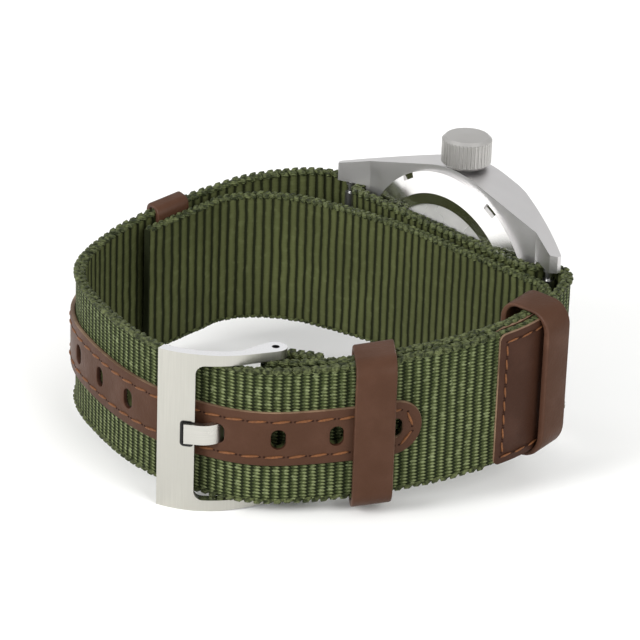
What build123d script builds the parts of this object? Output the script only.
"""Field watch on a two layer nylon strap, buckled and standing on its 9 o'clock side."""

import math
import os

from build123d import *

# Driving sizes of the head, in millimetres
# heights run from the face of the case back towards the dial, radii from the dial's axis
case_radius = 18.3
case_low = 1.3
case_high = 7.3
bore_radius = 15.4
neck_radius = 16.5
neck_depth = 1.9
recess_radius = 16.2
recess_depth = 0.65
case_bevel = 0.8
body_inset = 0.1
body_side = 5.0
body_top_radius = 17.3
lug_span = 46.0
lug_gap = 20.3
lug_width = 2.5
lug_reach = 0.7
lug_tip = 0.8
lug_shoulder = 8.5
lug_root = 17.4
lug_round = 0.8
lug_bow = 0.5
lug_flat = 17.9

# Spring bars between the lugs
bar_x = 20.8
bar_height = 0.75
bar_radius = 0.9
bar_bore = 0.55
bar_half = 8.4
tip_stem = 0.5
tip_start = 6.6
tip_flange_radius = 0.75
tip_flange_start = 9.6
tip_flange = 0.35
tip_pin = 0.4
tip_hole = 0.47
tip_depth = 1.1

# Case back, its window and its seal
back_radius = 17.4
back_land = 14.3
back_slope = 0.7
window_lip = 12.7
window_radius = 13.4
window_thick = 1.1
window_seat = 0.35
back_wall = 1.4
back_notches = 6
notch_width = 2.2
notch_depth = 0.9
seal_inner = 16.55
seal_outer = 17.1
seal_thick = 0.45

# Bezel, crystal and flange ring over the dial
bezel_radius = 17.2
bezel_rim = 0.45
bezel_top_radius = 16.3
bezel_height = 1.3
bezel_bore = 15.5
crystal_radius = 15.0
crystal_thick = 0.8
crystal_dome = 0.5
crystal_seat = 8.0
gasket_height = 0.6
flange_inner = 13.7
flange_top = 14.9
flange_clear = 0.1

# Dial and hands
dial_thick = 0.4
dial_low = 6.5
dial_hole = 1.05
hand_thick = 0.15
hour_length = 7.8
hour_width = 1.3
hour_height = 7.05
minute_length = 11.8
minute_width = 1.0
minute_height = 7.3
seconds_length = 12.8
seconds_width = 0.28
seconds_tail = 3.6
seconds_height = 7.55
hub_radius = 1.25
hub_small = 0.75
hour_angle = 305.0
minute_angle = 60.0
seconds_angle = 0.0

# Movement
movement_radius = 12.8
holder_low = 3.25
plate_low = 5.1
plate_high = 6.45
bridge_low = 2.95
bridge_thick = 0.5
pillar_radius = 0.8
wheel_thick = 0.3
arbor_radius = 0.2
seconds_wheel_radius = 2.7
seconds_wheel_low = 3.6
third_wheel_radius = 2.9
third_wheel_low = 4.05
centre_wheel_radius = 3.3
centre_wheel_low = 4.5
cannon_radius = 0.5
hour_tube_radius = 0.9
hour_wheel_radius = 3.0
hour_wheel_low = 5.85
barrel_radius = 4.4
barrel_thick = 1.3
barrel_arbor = 0.9
escape_radius = 2.2
escape_teeth = 15
fork_length = 4.2
fork_width = 0.8
fork_low = 4.35
balance_radius = 3.9
balance_rim = 0.6
balance_thick = 0.5
rotor_radius = 12.3
rotor_rim = 2.0
rotor_low = 1.95
rotor_thick = 0.4
rotor_rim_thick = 0.8
rotor_hub = 2.3
bearing_radius = 1.1
bearing_low = 1.8
gear_clear = 0.06
third_place_share = (-0.34, 0.14)
barrel_place_share = (0.09, 0.63)
escape_place_share = (0.05, -0.52)
fork_place_share = (-0.15, -0.49)
balance_place_share = (-0.49, -0.44)

# Winding stem and crown, lengths measured out from the dial's axis
stem_height = 3.9
stem_radius = 0.55
stem_start = 7.6
stem_groove = 0.35
lever_start = 9.05
lever_thick = 0.4
lever_width = 5.2
lever_low = 3.2
lever_high = 4.55
tube_radius = 1.5
tube_bore = 0.7
tube_start = 16.6
tube_end = 20.3
crown_radius = 3.65
crown_start = 18.65
crown_length = 4.6
crown_bore = 1.75
crown_well = 2.2
crown_bevel = 0.5
crown_dome = 0.25
crown_flutes = 40
flute_radius = 0.17
thread_radius = 0.45
thread_length = 0.5
ring_seal_length = 0.5

# Nylon strap, leather and their gaps
strap_width = 19.9
ply = 1.1
ply_gap = 0.1
tail_gap = 0.6
back_gap = 0.15
loop_fit = 0.1
inner_drop = 0.8
leather = 0.7
leather_gap = 0.05
strip_width = 8.0
hole_width = 2.5
hole_height = 3.4
hole_round_share = 0.38
hole_pitch = 8.0
holes_ahead = 3
holes_behind = 4
cap_leather = 0.5
cap_length = 8.7
keeper_leather = 1.2
keeper_edge_share = 0.6
keeper_corner = 2.4
keeper_fit = 0.2
keeper_gap = 0.3
fixed_width = 5.6
free_width = 4.5
back_width = 5.3
back_leather = 1.0
back_fit = 0.3
keeper_bow = 1.6
keeper_bulge = 0.5
keeper_round = 0.4
fold_length = 6.5
fold_gap = 0.25
turn_share = 0.49
strip_start_share = -0.577
strip_tip_share = 0.27

# Shape of the loop, seen along the strap's width
loop_reach = 38.0
loop_depth = 52.0
level_start = 4.0
level_end = 37.0
level_radius = 60.0
base_shares = (
    (0.389, -0.699),
    (0.558, -0.533),
    (0.676, -0.371),
    (0.734, -0.238),
    (0.722, -0.092),
)
near_lug_share = (0.24442, 0.008)
far_lug_share = (-0.31512, 0.023)
left_shares = (
    (-0.790, -0.062),
    (-0.890, -0.177),
    (-0.950, -0.327),
    (-0.987, -0.500),
    (-0.974, -0.650),
    (-0.879, -0.788),
    (-0.718, -0.873),
    (-0.500, -0.927),
    (-0.250, -0.965),
)
entry_share = (-0.016, -0.963)
over_share = (0.287, -0.877)
inner_left_shares = (
    (-0.158, -0.056),
    (-0.395, -0.090),
    (-0.632, -0.133),
    (-0.795, -0.204),
    (-0.874, -0.277),
)
inner_end_share = 0.15
fixed_place_share = 0.65
free_place_share = 0.5
back_place_share = 0.5
inner_start_share = 0.25
tail_end_share = 0.55

# Buckle
buckle_height = 23.8
buckle_chord = 15.7
buckle_bow = 13.0
buckle_plate = 1.5
buckle_bar = 4.5
window_half = 10.2
window_round = 1.3
buckle_lean = 33.5
eye_radius = 1.6
pivot_pin = 0.5
pin_recess = 0.35
pivot_slack = 1.15
pivot_ahead = 3.7
arm_taper = 0.4
arm_blend_share = 0.4
tongue_thick = 0.95
tongue_width = 2.9
tongue_ring = 1.7
tongue_slack = 0.3
tongue_gap = 0.35
tongue_reach = 1.4
notch_slack = 0.2
notch_length = 1.65
notch_depth = 0.8
hole_share = 0.62

# One overrun for cuts, and a running clearance
overrun = 2.0
running = 0.05

axis_z = case_radius
buckle_z = buckle_height / 2
tall = lug_span + buckle_height
case_axis = Axis((0, 0, axis_z), (0, 1, 0))
case_section = Plane.XY.offset(axis_z)
stem_axis = Axis((0, stem_height, axis_z), (0, 0, 1))
stem_section = Plane(origin=(0, stem_height, axis_z), x_dir=(1, 0, 0), z_dir=(0, -1, 0))
bridge_high = bridge_low + bridge_thick
strap_half = strap_width / 2
built = []


def keep(part_builder, label):
    """Name a finished piece and put it with the others."""
    part_builder.part.label = label
    built.append(part_builder.part)


def dial_plane(height):
    """Plane across the case: x towards 3 o'clock, y towards 12 o'clock."""
    return Plane(origin=(0, height, axis_z), x_dir=(0, 0, 1), z_dir=(0, 1, 0))


def turned(*outline, section=case_section, axis=case_axis, mode=Mode.ADD):
    """Turn an outline of (radius, height) points about an axis."""
    with BuildSketch(section) as profile:
        with BuildLine():
            Polyline(*outline, close=True)
        make_face()
    revolve(profile.sketch, axis=axis, mode=mode)


def disc(radius, low, high, place=(0, 0), mode=Mode.ADD):
    """Round plate or hole across the case between two heights."""
    with BuildSketch(dial_plane(low)) as profile:
        with Locations(place):
            Circle(radius)
    extrude(profile.sketch, amount=high - low, mode=mode)


def on_movement(share):
    """Point on the movement from its share of the radius."""
    return (share[0] * movement_radius, share[1] * movement_radius)


# Case middle with its four lugs
with BuildPart() as case_middle:
    with BuildSketch(dial_plane(-lug_reach)):
        with BuildLine():
            CenterArc((0, 0), case_radius, 0, 360)
            for end in (-1, 1):
                tip_half = lug_gap / 2 + lug_width
                Line((-tip_half, end * lug_span / 2), (tip_half, end * lug_span / 2))
        make_hull()
    extrude(amount=lug_reach + case_high)
    with BuildSketch(Plane.XY):
        with BuildLine():
            tip = lug_span / 2
            Polyline(
                (0, case_high),
                (0, case_low),
                (lug_root, case_low),
                (tip - lug_round, -lug_reach),
                (tip, lug_round - lug_reach),
                (tip, lug_tip),
            )
            SagittaArc((tip, lug_tip), (lug_shoulder, case_high), -lug_bow)
            Line((lug_shoulder, case_high), (0, case_high))
        make_face()
        mirror(about=Plane.YZ)
    extrude(amount=tall, mode=Mode.INTERSECT)
    rims = case_middle.edges().filter_by(Plane.XZ).group_by(Axis.Y)[-1]
    chamfer(rims, length=case_bevel)
    turned(
        (0, case_low),
        (case_radius - body_inset, case_low),
        (case_radius - body_inset, body_side),
        (body_top_radius, case_high),
        (0, case_high),
    )
    turned(
        (0, -overrun),
        (neck_radius, -overrun),
        (neck_radius, case_low + neck_depth),
        (bore_radius, case_low + neck_depth),
        (bore_radius, case_high - recess_depth),
        (recess_radius, case_high - recess_depth),
        (recess_radius, case_high + overrun),
        (0, case_high + overrun),
        mode=Mode.SUBTRACT,
    )
    turned(
        (neck_radius - running, case_low - overrun),
        (seal_outer + running, case_low - overrun),
        (seal_outer + running, case_low + seal_thick),
        (neck_radius - running, case_low + seal_thick),
        mode=Mode.SUBTRACT,
    )
    with BuildSketch(dial_plane(-overrun)):
        for end in (-1, 1):
            with Locations((0, end * (lug_flat + lug_span / 2))):
                Rectangle(lug_gap, lug_span)
    extrude(amount=case_high + 2 * overrun, mode=Mode.SUBTRACT)
    with BuildSketch(case_section):
        with Locations((bar_x, bar_height), (-bar_x, bar_height)):
            Circle(tip_hole)
    extrude(amount=lug_gap / 2 + tip_depth + overrun / 2, both=True, mode=Mode.SUBTRACT)
    with BuildSketch(Plane.XY.offset(axis_z + movement_radius)):
        with Locations((0, stem_height)):
            Circle(tube_radius + running / 2)
    extrude(amount=case_radius, mode=Mode.SUBTRACT)
keep(case_middle, "case_middle")

# Bezel pressed into the recess on the case
with BuildPart() as bezel:
    turned(
        (bezel_bore, case_high - recess_depth),
        (recess_radius - running, case_high - recess_depth),
        (recess_radius - running, case_high),
        (bezel_radius, case_high),
        (bezel_radius, case_high + bezel_rim),
        (bezel_top_radius, case_high + bezel_height),
        (bezel_bore, case_high + bezel_height),
    )
keep(bezel, "bezel")

# Domed crystal
with BuildPart() as crystal:
    with BuildSketch(case_section):
        with BuildLine():
            crown_point = crystal_seat + crystal_thick + crystal_dome
            Polyline(
                (0, crown_point),
                (0, crystal_seat),
                (crystal_radius, crystal_seat),
                (crystal_radius, crystal_seat + crystal_thick),
            )
            TangentArc((0, crown_point), (crystal_radius, crystal_seat + crystal_thick), tangent=(1, 0))
        make_face()
    revolve(axis=case_axis)
keep(crystal, "crystal")

# Crystal gasket between crystal and bezel
with BuildPart() as crystal_gasket:
    turned(
        (crystal_radius, crystal_seat),
        (bezel_bore, crystal_seat),
        (bezel_bore, crystal_seat + gasket_height),
        (crystal_radius, crystal_seat + gasket_height),
    )
keep(crystal_gasket, "crystal_gasket")

# Sloped flange ring that carries the crystal over the dial
with BuildPart() as flange_ring:
    turned(
        (flange_inner, dial_low + dial_thick),
        (bore_radius - flange_clear, dial_low + dial_thick),
        (bore_radius - flange_clear, crystal_seat),
        (flange_top, crystal_seat),
    )
keep(flange_ring, "flange_ring")

# Dial
with BuildPart() as dial:
    disc(bore_radius - flange_clear, dial_low, dial_low + dial_thick)
    disc(dial_hole, dial_low - overrun, dial_low + overrun, mode=Mode.SUBTRACT)
keep(dial, "dial")


def hand(length, width, tail, hub, bore, height, angle):
    """Flat pointed hand on its hub, turned clockwise from 12 o'clock."""
    shoulder = length - 2 * width
    with BuildSketch(dial_plane(height)) as profile:
        with Locations(Rotation(0, 0, -angle)):
            Polygon(
                (-width / 2, -tail),
                (width / 2, -tail),
                (width / 2, shoulder),
                (0, length),
                (-width / 2, shoulder),
                align=None,
            )
        Circle(hub)
        Circle(bore, mode=Mode.SUBTRACT)
    extrude(profile.sketch, amount=hand_thick)


with BuildPart() as hour_hand:
    hand(hour_length, hour_width, 0, hub_radius, hour_tube_radius, hour_height, hour_angle)
keep(hour_hand, "hour_hand")

with BuildPart() as minute_hand:
    hand(minute_length, minute_width, 0, hub_radius, cannon_radius, minute_height, minute_angle)
keep(minute_hand, "minute_hand")

with BuildPart() as seconds_hand:
    hand(
        seconds_length,
        seconds_width,
        seconds_tail,
        hub_small,
        arbor_radius,
        seconds_height,
        seconds_angle,
    )
keep(seconds_hand, "seconds_hand")

# Hour wheel, centre wheel with cannon tube, and the seconds wheel inside it
with BuildPart() as hour_wheel:
    disc(hour_wheel_radius, hour_wheel_low, hour_wheel_low + wheel_thick)
    disc(hour_tube_radius, hour_wheel_low, hour_height + hand_thick)
    disc(cannon_radius + running, hour_wheel_low - overrun, case_high, mode=Mode.SUBTRACT)
keep(hour_wheel, "hour_wheel")

with BuildPart() as centre_wheel:
    disc(centre_wheel_radius, centre_wheel_low, centre_wheel_low + wheel_thick)
    disc(cannon_radius, centre_wheel_low, minute_height + hand_thick)
    disc(arbor_radius + running, centre_wheel_low - overrun, case_high + overrun, mode=Mode.SUBTRACT)
keep(centre_wheel, "centre_wheel")

with BuildPart() as seconds_wheel:
    disc(seconds_wheel_radius, seconds_wheel_low, seconds_wheel_low + wheel_thick)
    disc(arbor_radius, bridge_high + running, seconds_height + hand_thick)
keep(seconds_wheel, "seconds_wheel")

# Main plate
with BuildPart() as main_plate:
    disc(movement_radius, plate_low, plate_high)
    disc(cannon_radius + running, plate_low - overrun, case_high, mode=Mode.SUBTRACT)
    disc(
        hour_wheel_radius + 2 * running,
        hour_wheel_low - wheel_thick,
        plate_high + overrun,
        mode=Mode.SUBTRACT,
    )
keep(main_plate, "main_plate")


def pillars(*shares):
    """Feet that stand a bridge on the main plate."""
    for share in shares:
        disc(pillar_radius, bridge_low, plate_low, on_movement(share))


def bridge_outline(*shares):
    """Flat bridge with its outline in shares of the movement's radius."""
    with BuildSketch(dial_plane(bridge_low)) as profile:
        with BuildLine():
            Polyline(*[on_movement(share) for share in shares], close=True)
        make_face()
        Circle(movement_radius, mode=Mode.INTERSECT)
    extrude(profile.sketch, amount=bridge_thick)


barrel_bridge_shares = (
    (-1, 1),
    (1, 1),
    (1, 0.44),
    (0.64, 0.44),
    (0.58, 0.16),
    (0.3, 0.16),
    (-0.12, 0.3),
    (-1, 0.3),
)
train_bridge_shares = (
    (-1, 0.28),
    (-0.13, 0.28),
    (0.29, 0.14),
    (0.6, 0.14),
    (0.42, -1),
    (-0.1, -1),
    (-0.1, -0.1),
    (-1, 0.05),
)
cock_shares = ((-0.56, -0.9), (-0.28, -1), (-0.3, -0.36), (-0.42, -0.3), (-0.56, -0.36))
with BuildPart() as barrel_bridge:
    bridge_outline(*barrel_bridge_shares)
    pillars((-0.55, 0.7), (0.6, 0.62))
keep(barrel_bridge, "barrel_bridge")

with BuildPart() as train_bridge:
    bridge_outline(*train_bridge_shares)
    pillars((-0.85, 0.16), (0.32, -0.75))
keep(train_bridge, "train_bridge")

with BuildPart() as balance_cock:
    bridge_outline(*cock_shares)
    pillars((-0.4, -0.85))
keep(balance_cock, "balance_cock")

# Mainspring barrel and the rest of the train
with BuildPart() as mainspring_barrel:
    barrel_low = bridge_high + 2 * running
    disc(barrel_radius, barrel_low, barrel_low + barrel_thick, on_movement(barrel_place_share))
    disc(barrel_arbor, barrel_low, plate_low - running, on_movement(barrel_place_share))
keep(mainspring_barrel, "mainspring_barrel")

with BuildPart() as third_wheel:
    third_place = on_movement(third_place_share)
    disc(third_wheel_radius, third_wheel_low, third_wheel_low + wheel_thick, third_place)
    disc(arbor_radius, bridge_high + running, plate_low - running, third_place)
keep(third_wheel, "third_wheel")

with BuildPart() as escape_wheel:
    with BuildSketch(dial_plane(seconds_wheel_low)):
        with Locations(on_movement(escape_place_share)):
            Circle(escape_radius)
            with PolarLocations(escape_radius, escape_teeth):
                RegularPolygon(escape_radius / 8, 3, mode=Mode.SUBTRACT)
    extrude(amount=wheel_thick)
    disc(arbor_radius, bridge_high + running, plate_low - running, on_movement(escape_place_share))
keep(escape_wheel, "escape_wheel")

with BuildPart() as pallet_fork:
    with BuildSketch(dial_plane(fork_low)):
        with Locations(on_movement(fork_place_share)):
            SlotOverall(fork_length, fork_width)
            Rectangle(fork_width, fork_length / 2)
    extrude(amount=wheel_thick)
    disc(arbor_radius, bridge_high + running, plate_low - running, on_movement(fork_place_share))
keep(pallet_fork, "pallet_fork")

with BuildPart() as balance_wheel:
    with BuildSketch(dial_plane(seconds_wheel_low)):
        with Locations(on_movement(balance_place_share)):
            Circle(balance_radius)
            Circle(balance_radius - balance_rim, mode=Mode.SUBTRACT)
            Rectangle(2 * balance_radius - balance_rim, balance_rim)
            Rectangle(balance_rim, 2 * balance_radius - balance_rim)
    extrude(amount=balance_thick)
    disc(arbor_radius, bridge_high + running, plate_low - running, on_movement(balance_place_share))
keep(balance_wheel, "balance_wheel")

# Winding rotor on its ball bearing
with BuildPart() as rotor_bearing:
    disc(bearing_radius, bearing_low, bridge_low)
keep(rotor_bearing, "rotor_bearing")

with BuildPart() as rotor:
    with BuildSketch(dial_plane(rotor_low)):
        Circle(rotor_radius)
        with Locations((rotor_radius, 0)):
            Rectangle(2 * rotor_radius, 2 * rotor_radius, mode=Mode.SUBTRACT)
        Circle(rotor_hub)
    extrude(amount=rotor_thick)
    with BuildSketch(dial_plane(rotor_low)):
        Circle(rotor_radius)
        Circle(rotor_radius - rotor_rim, mode=Mode.SUBTRACT)
        with Locations((rotor_radius, 0)):
            Rectangle(2 * rotor_radius, 2 * rotor_radius, mode=Mode.SUBTRACT)
    extrude(amount=rotor_rim_thick)
    disc(bearing_radius + running, rotor_low - overrun, rotor_low + overrun, mode=Mode.SUBTRACT)
keep(rotor, "rotor")

# Ring that holds the movement in the case, with a channel for the stem
with BuildPart() as movement_holder:
    turned(
        (movement_radius + running, holder_low),
        (bore_radius - flange_clear, holder_low),
        (bore_radius - flange_clear, dial_low),
        (movement_radius + running, dial_low),
    )
    with BuildSketch(case_section):
        with Locations((0, stem_height)):
            Circle(tube_radius)
    extrude(amount=case_radius, mode=Mode.SUBTRACT)
keep(movement_holder, "movement_holder")

# Winding stem with the groove that the setting lever sits in
with BuildPart() as winding_stem:
    thread_end = crown_start + crown_well + thread_length
    turned(
        (0, stem_start),
        (stem_radius, stem_start),
        (stem_radius, lever_start - running),
        (stem_groove, lever_start - running),
        (stem_groove, lever_start + lever_thick + running),
        (stem_radius, lever_start + lever_thick + running),
        (stem_radius, crown_start + crown_well - running),
        (thread_radius - running, crown_start + crown_well - running),
        (thread_radius - running, thread_end),
        (0, thread_end),
        section=stem_section,
        axis=stem_axis,
    )
keep(winding_stem, "winding_stem")

with BuildPart() as setting_lever:
    with BuildSketch(Plane.XY.offset(axis_z + lever_start)):
        lever_size = lever_high - lever_low
        with Locations((lever_width / 2 - stem_radius, (lever_high + lever_low) / 2)):
            Rectangle(lever_width, lever_size)
        with Locations((0, stem_height)):
            Circle(stem_groove + running, mode=Mode.SUBTRACT)
            with Locations((-stem_radius, 0)):
                Rectangle(2 * stem_radius, 2 * (stem_groove + running), mode=Mode.SUBTRACT)
    extrude(amount=lever_thick)
keep(setting_lever, "setting_lever")

with BuildPart() as crown_tube:
    turned(
        (tube_bore, tube_start),
        (tube_radius, tube_start),
        (tube_radius, tube_end),
        (tube_bore, tube_end),
        section=stem_section,
        axis=stem_axis,
    )
keep(crown_tube, "crown_tube")

with BuildPart() as crown:
    crown_end = crown_start + crown_length
    turned(
        (thread_radius, crown_start + crown_well),
        (crown_bore, crown_start + crown_well),
        (crown_bore, crown_start),
        (crown_radius - crown_bevel, crown_start),
        (crown_radius, crown_start + crown_bevel),
        (crown_radius, crown_end - crown_bevel - crown_dome),
        (crown_radius - crown_bevel, crown_end - crown_dome),
        (0, crown_end),
        (0, crown_start + crown_well + thread_length),
        (thread_radius, crown_start + crown_well + thread_length),
        section=stem_section,
        axis=stem_axis,
    )
    with BuildSketch(Plane.XY.offset(axis_z + crown_start)):
        with Locations((0, stem_height)):
            with PolarLocations(crown_radius + flute_radius / 4, crown_flutes):
                Circle(flute_radius)
    extrude(amount=crown_length - crown_bevel, mode=Mode.SUBTRACT)
keep(crown, "crown")

with BuildPart() as crown_gasket:
    seal_start = crown_start + ring_seal_length
    turned(
        (tube_radius + running, seal_start),
        (crown_bore - running / 2, seal_start),
        (crown_bore - running / 2, seal_start + ring_seal_length),
        (tube_radius + running, seal_start + ring_seal_length),
        section=stem_section,
        axis=stem_axis,
    )
keep(crown_gasket, "crown_gasket")

# Screwed case back ring with its wrench notches
with BuildPart() as back_ring:
    neck_outer = neck_radius - running
    neck_top = case_low + neck_depth - running
    turned(
        (window_lip, 0),
        (back_land, 0),
        (back_radius, back_slope),
        (back_radius, case_low),
        (neck_outer, case_low),
        (neck_outer, neck_top),
        (neck_outer - back_wall, neck_top),
        (neck_outer - back_wall, window_seat + window_thick),
        (window_radius + running, window_seat + window_thick),
        (window_radius + running, window_seat),
        (window_lip, window_seat),
    )
    with BuildSketch(dial_plane(-overrun)):
        with PolarLocations(back_radius, back_notches, start_angle=180 / back_notches):
            Rectangle(2 * notch_depth, notch_width)
    extrude(amount=case_low + overrun - notch_depth / 2, mode=Mode.SUBTRACT)
keep(back_ring, "back_ring")

with BuildPart() as back_window:
    disc(window_radius, window_seat, window_seat + window_thick)
keep(back_window, "back_window")

with BuildPart() as back_gasket:
    turned(
        (seal_inner, case_low),
        (seal_outer, case_low),
        (seal_outer, case_low + seal_thick - running),
        (seal_inner, case_low + seal_thick - running),
    )
keep(back_gasket, "back_gasket")


def bar_tube(side):
    """Tube of a spring bar between two lugs."""
    with BuildSketch(case_section) as profile:
        with Locations((side * bar_x, bar_height)):
            Circle(bar_radius)
            Circle(bar_bore, mode=Mode.SUBTRACT)
    extrude(profile.sketch, amount=bar_half, both=True)


def bar_tip(side, end):
    """Sprung tip of a spring bar: a stem in the tube, a flange and a pin in the lug."""
    steps = (
        (tip_stem, tip_start, tip_flange_start),
        (tip_flange_radius, tip_flange_start, tip_flange_start + tip_flange),
        (tip_pin, tip_flange_start + tip_flange, lug_gap / 2 + tip_depth),
    )
    for radius, start, stop in steps:
        with BuildSketch(Plane.XY.offset(axis_z + end * start)) as profile:
            with Locations((side * bar_x, bar_height)):
                Circle(radius)
        extrude(profile.sketch, amount=end * (stop - start))


for side, clock in ((1, "12"), (-1, "6")):
    with BuildPart() as spring_bar:
        bar_tube(side)
    keep(spring_bar, f"spring_bar_{clock}")
    for end, name in ((1, "crown_side"), (-1, "far_side")):
        with BuildPart() as tip_part:
            bar_tip(side, end)
        keep(tip_part, f"bar_tip_{clock}_{name}")


def on_loop(share):
    """Point of the strap's loop from its shares of reach and depth."""
    return Vector(share[0] * loop_reach, share[1] * loop_depth)


def beside_lug(share):
    """Point beside a lug, its x a share of how far the loop reaches past the spring bar."""
    past_bar = share[0] * (loop_reach - bar_x)
    return Vector(math.copysign(bar_x, share[0]) + past_bar, share[1] * loop_depth)


def turn_radii(points):
    """Radius for each corner of a route, as large as its two runs allow, and the turn's side."""
    radii = []
    for before, corner, after in zip(points, points[1:], points[2:]):
        run_in = corner - before
        run_out = after - corner
        turn = math.atan2(run_in.cross(run_out).Z, run_in.dot(run_out))
        shorter = min(run_in.length, run_out.length)
        radii.append(turn_share * shorter / math.tan(turn / 2))
    return radii


def rounded(points):
    """Line along a route with its corners rounded."""
    return FilletPolyline(*points, radius=[abs(radius) for radius in turn_radii(points)])


def shifted(points, distance):
    """Route moved sideways to its left by a distance, corner by corner."""
    moved = []
    for index, point in enumerate(points):
        before = points[max(index - 1, 0)]
        after = points[min(index + 1, len(points) - 1)]
        run_in = (point - before).normalized() if index else (after - point).normalized()
        run_out = (after - point).normalized() if index < len(points) - 1 else run_in
        left_in = Vector(-run_in.Y, run_in.X)
        left_out = Vector(-run_out.Y, run_out.X)
        bisector = (left_in + left_out).normalized()
        moved.append(point + bisector * (distance / bisector.dot(left_in)))
    return moved


def band(points, right, left, mode=Mode.ADD):
    """Face between two lines that run beside a route, at distances to its left."""
    sides = []
    with BuildLine() as outline:
        for distance in (right, left):
            beside = [abs(radius - distance) for radius in turn_radii(points)]
            sides.append(FilletPolyline(*shifted(points, distance), radius=beside))
        Line(sides[0] @ 0, sides[1] @ 0)
        Line(sides[0] @ 1, sides[1] @ 1)
    make_face(outline.edges(), mode=mode)


level_slope = (axis_z - buckle_z) / (level_end - level_start)


def strap_z(y):
    """Height of the strap's middle: level at the case, falling to the buckle."""
    return axis_z - level_slope * min(max(-y - level_start, 0), level_end - level_start)


def cut_to_width(half, drop=0):
    """Keep what lies within the strap's falling width."""
    edges = []
    with BuildSketch(Plane.YZ) as profile:
        with BuildLine():
            for edge in (-half - drop, half - drop):
                heights = (
                    (case_radius, axis_z + edge),
                    (-level_start, axis_z + edge),
                    (-level_end, buckle_z + edge),
                    (-loop_depth - case_radius, buckle_z + edge),
                )
                edges.append(FilletPolyline(*heights, radius=level_radius))
            Line(edges[0] @ 0, edges[1] @ 0)
            Line(edges[0] @ 1, edges[1] @ 1)
        make_face()
    extrude(profile.sketch, amount=tall, both=True, mode=Mode.INTERSECT)


# Route of the main strap: folded end, buckle bar, near lug, case back, far lug, front, tail
entry = on_loop(entry_share)
over = on_loop(over_share)
tail_run = (over - entry).normalized()
tail_left = Vector(-tail_run.Y, tail_run.X)
loop_radius = bar_radius + loop_fit + ply / 2
base = [on_loop(share) for share in base_shares] + [beside_lug(near_lug_share)]
tail = shifted([over] + base, -ply - tail_gap)[1:-1]
leg_run = (tail[0] - over).normalized()
leg_left = Vector(-leg_run.Y, leg_run.X)
pivot = over + leg_run * pivot_ahead + leg_left * (loop_radius + ply + tail_gap + pivot_slack)
to_base = base[0] - pivot
base_angle = math.atan2(to_base.Y, to_base.X) + math.asin(loop_radius / to_base.length)
along = Vector(math.cos(base_angle), math.sin(base_angle))
inward = Vector(-along.Y, along.X)
drop_x = (lug_flat + bar_x - bar_radius) / 2
over_bar = bar_height + bar_radius + loop_fit + ply / 2
behind = -back_gap - ply / 2
fold = [
    pivot + along * fold_length + inward * (ply + fold_gap - loop_radius),
    pivot + along * loop_radius + inward * loop_radius,
    pivot - along * loop_radius + inward * loop_radius,
    pivot - along * loop_radius - inward * loop_radius,
]
near_lug = [Vector(bar_x + 2 * bar_radius, over_bar), Vector(drop_x, over_bar), Vector(drop_x, behind)]
far_lug = [Vector(-point.X, point.Y) for point in reversed(near_lug)]
left = [beside_lug(far_lug_share)] + [on_loop(share) for share in left_shares]
tail_stop = tail[-2] + (tail[-1] - tail[-2]) * tail_end_share
tail_route = [entry, over] + tail[:-1] + [tail_stop]
main_route = fold + base + near_lug + far_lug + left + tail_route

# Hole places along the straight run and the bends beside it
tongue_point = entry + (over - entry) * hole_share
path = rounded(main_route)
before_tongue = rounded(main_route[: main_route.index(entry) + 1] + [tongue_point]).length
hole_frames = []
for step in range(-holes_behind, holes_ahead + 1):
    at = before_tongue + step * hole_pitch
    point = path.position_at(at, position_mode=PositionMode.LENGTH)
    hole_frames.append((point, path.tangent_at(at, position_mode=PositionMode.LENGTH)))


def facing_out(point, run):
    """Plane square to the strap at a point of its route, its x along the strap."""
    spot = Vector(point.X, point.Y, strap_z(point.Y))
    return Plane(origin=spot, x_dir=run, z_dir=Vector(run.Y, -run.X))


def holes():
    """Holes through the strap, square to it."""
    for point, run in hole_frames:
        with BuildSketch(facing_out(point, run)) as profile:
            RectangleRounded(hole_width, hole_height, hole_width * hole_round_share)
        extrude(profile.sketch, amount=2 * ply, both=True, mode=Mode.SUBTRACT)


with BuildPart() as main_strap:
    with BuildSketch():
        band(main_route, -ply / 2, ply / 2)
    extrude(amount=tall)
    cut_to_width(strap_half)
    holes()
    with BuildSketch(Plane.XY.offset(buckle_z)):
        with Locations((pivot.X, pivot.Y)):
            Circle(loop_radius + ply / 2 + running)
    extrude(amount=tongue_width / 2 + tongue_slack, both=True, mode=Mode.SUBTRACT)
keep(main_strap, "main_strap")

# Inner layer: from the folded end, behind the case, to its own end on the far side
step_in = ply + ply_gap
inner_near = shifted(base, step_in)[:5]
inner_near[0] = inner_near[0] + (inner_near[1] - inner_near[0]) * inner_start_share
back_step = ply + back_leather + 2 * back_fit
inner_far = shifted(left, back_step)[3:6]
inner_far[2] = inner_far[1] + (inner_far[2] - inner_far[1]) * inner_end_share
inner_rise = inner_near[4] - inner_near[3]
inner_near[4] += inner_rise * ((behind - step_in - inner_near[4].Y) / inner_rise.Y)
inner_left = [on_loop(share) for share in inner_left_shares]
inner_route = inner_near + inner_left + inner_far
with BuildPart() as inner_strap:
    with BuildSketch():
        band(inner_route, -ply / 2, ply / 2)
    extrude(amount=tall)
    cut_to_width(strap_half, inner_drop)
keep(inner_strap, "inner_strap")

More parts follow.
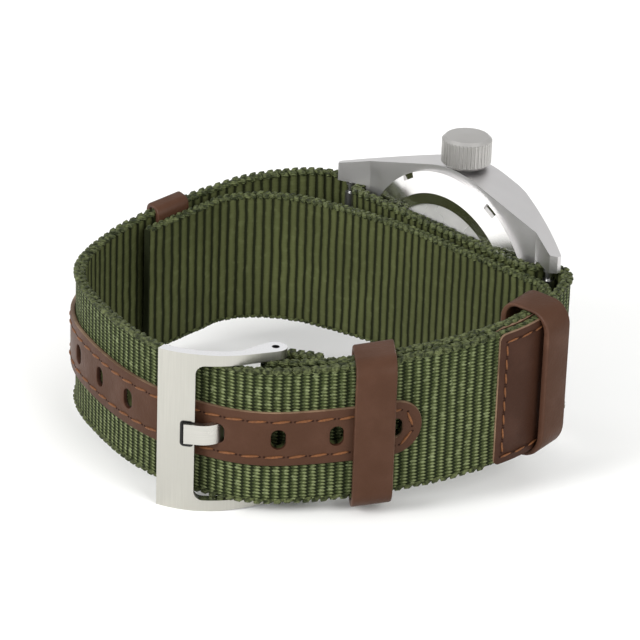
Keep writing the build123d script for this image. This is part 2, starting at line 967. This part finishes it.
# Leather strip round the strap's holes, with a rounded tip
strip_near = ply / 2 + leather_gap
strip_route = left[3:] + tail_route[:5]
strip_round = strip_width / 2
tip_run = (tail_route[4] - tail_route[3]).normalized()
tip_point = tail_route[3] + (tail_route[4] - tail_route[3]) * strip_tip_share
with BuildPart() as hole_strip:
    with BuildSketch():
        band(strip_route, -strip_near - leather, -strip_near)
        with BuildLine():
            Polyline(
                (-2 * loop_reach, strip_start_share * loop_depth),
                (0, strip_start_share * loop_depth),
                (tip_point.X - loop_reach / 2, tip_point.Y),
                tip_point,
                (2 * loop_reach, tip_point.Y - loop_reach),
                (2 * loop_reach, -2 * loop_depth),
                (-2 * loop_reach, -2 * loop_depth),
                close=True,
            )
        make_face(mode=Mode.INTERSECT)
    extrude(amount=tall)
    cut_to_width(strip_width / 2)
    with BuildSketch(facing_out(tip_point, tip_run)):
        with Locations((-strip_round, 0)):
            Rectangle(4 * strip_round, 2 * strip_width, align=(Align.MIN, Align.CENTER))
            Circle(strip_round, mode=Mode.SUBTRACT)
    extrude(amount=2 * ply, both=True, mode=Mode.SUBTRACT)
    holes()
keep(hole_strip, "hole_strip")

# Leather cap folded over the strap's end
cap_near = ply / 2 + leather_gap
cap_corner, cap_stop = tail_route[-2:]
cap_run = (cap_stop - cap_corner).normalized()
cap_back = (tail_route[-3] - cap_corner).normalized()
cap_start = cap_corner + cap_back * (cap_length - (cap_stop - cap_corner).length)
with BuildPart() as end_cap:
    with BuildSketch():
        cap_end = cap_stop + cap_run * (leather_gap + cap_leather)
        band([cap_start, cap_corner, cap_end], -cap_near - cap_leather, cap_near + cap_leather)
        pocket = [cap_start + cap_back * cap_leather, cap_corner, cap_stop + cap_run * leather_gap]
        band(pocket, -cap_near, cap_near, mode=Mode.SUBTRACT)
    extrude(amount=tall)
    cut_to_width(strap_half)
keep(end_cap, "end_cap")


def keeper(run_ends, place_share, width, thick, drop, inside, outside, slack):
    """Leather ring on a run of the strap, open from inside to outside of the run's line."""
    start, stop = run_ends
    run = (stop - start).normalized()
    middle = start + (stop - start) * place_share
    slope = Vector(run.X, run.Y, run.Y * level_slope).normalized()
    spot = Vector(middle.X, middle.Y, strap_z(middle.Y)) - slope * width / 2
    depth = inside + outside
    height = strap_width + drop + 2 * slack
    edge_thick = thick * keeper_edge_share
    corner = min(keeper_corner, (depth + thick) / 2)
    with BuildSketch(Plane(origin=spot, x_dir=Vector(run.Y, -run.X), z_dir=run)) as ring:
        with Locations(((outside - inside) / 2, drop / 2)):
            RectangleRounded(depth + 2 * thick, height + 2 * edge_thick, corner)
            RectangleRounded(depth, height, keeper_round, mode=Mode.SUBTRACT)
    extrude(ring.sketch, amount=width, dir=slope)


# Keepers: one sewn at the buckle's side, one loose by the lug, one on the inner layer's end
inner_face = step_in + ply / 2
strip_face = ply + tail_gap + strip_near + leather
with BuildPart() as keeper_fixed:
    keeper(
        base[0:2],
        fixed_place_share,
        fixed_width,
        keeper_leather,
        inner_drop,
        inner_face + keeper_fit,
        strip_face + keeper_fit,
        keeper_fit,
    )
keep(keeper_fixed, "keeper_fixed")

with BuildPart() as keeper_free:
    cap_face = ply + tail_gap + cap_near + cap_leather
    keeper(
        base[3:5],
        free_place_share,
        free_width,
        keeper_leather,
        inner_drop,
        inner_face + keeper_bow,
        cap_face + keeper_bulge,
        keeper_gap,
    )
keep(keeper_free, "keeper_free")

with BuildPart() as keeper_back:
    ply_face = ply / 2 + back_fit
    keeper(left[3:5], back_place_share, back_width, back_leather, 0, ply_face, ply_face, back_fit)
keep(keeper_back, "keeper_back")

# Buckle frame: a curved plate with a window, open at the strap's end, and an eye on each arm
buckle_run = tail_run.rotate(Axis.Z, buckle_lean)
buckle_plan = Plane(origin=pivot, x_dir=buckle_run, z_dir=(0, 0, 1))
buckle_mid = buckle_plan.offset(buckle_z)
buckle_face = Plane(origin=buckle_mid.origin, x_dir=buckle_run, z_dir=-buckle_plan.y_dir)
bow_centre = (-buckle_chord / 2, math.sqrt(buckle_bow**2 - buckle_chord**2 / 4))
bow_half = math.degrees(math.asin(buckle_chord / 2 / buckle_bow))
window_start = buckle_bar - buckle_chord
outer_bow = buckle_bow + buckle_plate / 2
window_rise = math.sqrt(outer_bow**2 - (window_start - bow_centre[0]) ** 2)
notch_floor = bow_centre[1] - window_rise + notch_depth
with BuildPart() as buckle_frame:
    with BuildSketch(buckle_plan):
        with BuildLine():
            faces = []
            for face in (-buckle_plate / 2, buckle_plate / 2):
                faces.append(CenterArc(bow_centre, buckle_bow + face, -bow_half - 90, 2 * bow_half))
            Line(faces[0] @ 0, faces[1] @ 0)
            Line(faces[0] @ 1, faces[1] @ 1)
        make_face()
    extrude(amount=buckle_height)
    with BuildSketch(buckle_plan):
        with BuildLine():
            blend_angle = arm_blend_share * bow_half - 90
            blend = Vector(*bow_centre) + Vector(buckle_bow, 0).rotate(Axis.Z, blend_angle)
            CenterArc(blend, buckle_plate / 2, 0, 360)
            CenterArc((0, 0), eye_radius, 0, 360)
        make_hull()
    extrude(amount=buckle_height)
    frame_half = buckle_height / 2
    eye_half = frame_half - arm_taper
    with BuildSketch(buckle_face):
        with BuildLine():
            Polyline(
                (-2 * buckle_chord, -frame_half),
                (window_start, -frame_half),
                (0, -eye_half),
                (buckle_chord, -eye_half),
                (buckle_chord, eye_half),
                (0, eye_half),
                (window_start, frame_half),
                (-2 * buckle_chord, frame_half),
                close=True,
            )
        make_face()
    extrude(amount=buckle_bow, both=True, mode=Mode.INTERSECT)
    with BuildSketch(buckle_face) as window:
        with Locations((window_start, 0)):
            Rectangle(buckle_chord, 2 * window_half, align=(Align.MIN, Align.CENTER))
        fillet(window.vertices().group_by(Axis.X)[0], radius=window_round)
    extrude(amount=buckle_bow, both=True, mode=Mode.SUBTRACT)
    with BuildSketch(buckle_face.offset(-notch_floor)):
        with Locations((window_start - notch_length, 0)):
            notch_height = tongue_width + 2 * notch_slack
            Rectangle(2 * notch_length, notch_height, align=(Align.MIN, Align.CENTER))
    extrude(amount=buckle_plate, mode=Mode.SUBTRACT)
    with BuildSketch(buckle_plan):
        Circle(pivot_pin + running)
    extrude(amount=buckle_height, mode=Mode.SUBTRACT)
keep(buckle_frame, "buckle_frame")

# Buckle bar, with a pin at each end that turns in the frame's eyes
with BuildPart() as buckle_pin:
    with BuildSketch(buckle_mid):
        Circle(bar_radius)
    extrude(amount=window_half - running, both=True)
    with BuildSketch(buckle_mid):
        Circle(pivot_pin)
    extrude(amount=eye_half - pin_recess, both=True)
keep(buckle_pin, "buckle_bar")

# Tongue: a ring on the bar, a bend up through the strap's hole, and a tip in the frame's notch
tongue_knee = tail_left * (strip_near + leather + tongue_gap + tongue_thick / 2)
tongue_floor = notch_floor - running - tongue_thick / 2
tongue_tip = buckle_plan.from_local_coords((window_start - tongue_reach, tongue_floor))
tongue_route = [pivot, tongue_point + tongue_knee, tongue_point - tongue_knee, tongue_tip]
with BuildPart() as buckle_tongue:
    with BuildSketch(Plane.XY.offset(buckle_z)):
        band(tongue_route, -tongue_thick / 2, tongue_thick / 2)
        with Locations((pivot.X, pivot.Y)):
            Circle(tongue_ring)
            Circle(bar_radius + running, mode=Mode.SUBTRACT)
    extrude(amount=tongue_width / 2, both=True)
keep(buckle_tongue, "buckle_tongue")

# Move the watch so that its origin is at the middle of its footprint, and write the pieces
whole = Compound(children=[piece.moved(Location()) for piece in built]).bounding_box()
footprint = Location((-whole.center().X, -whole.center().Y, -whole.min.Z))
os.makedirs("parts", exist_ok=True)
for piece in built:
    export_step(piece.moved(footprint), f"parts/{piece.label}.step")
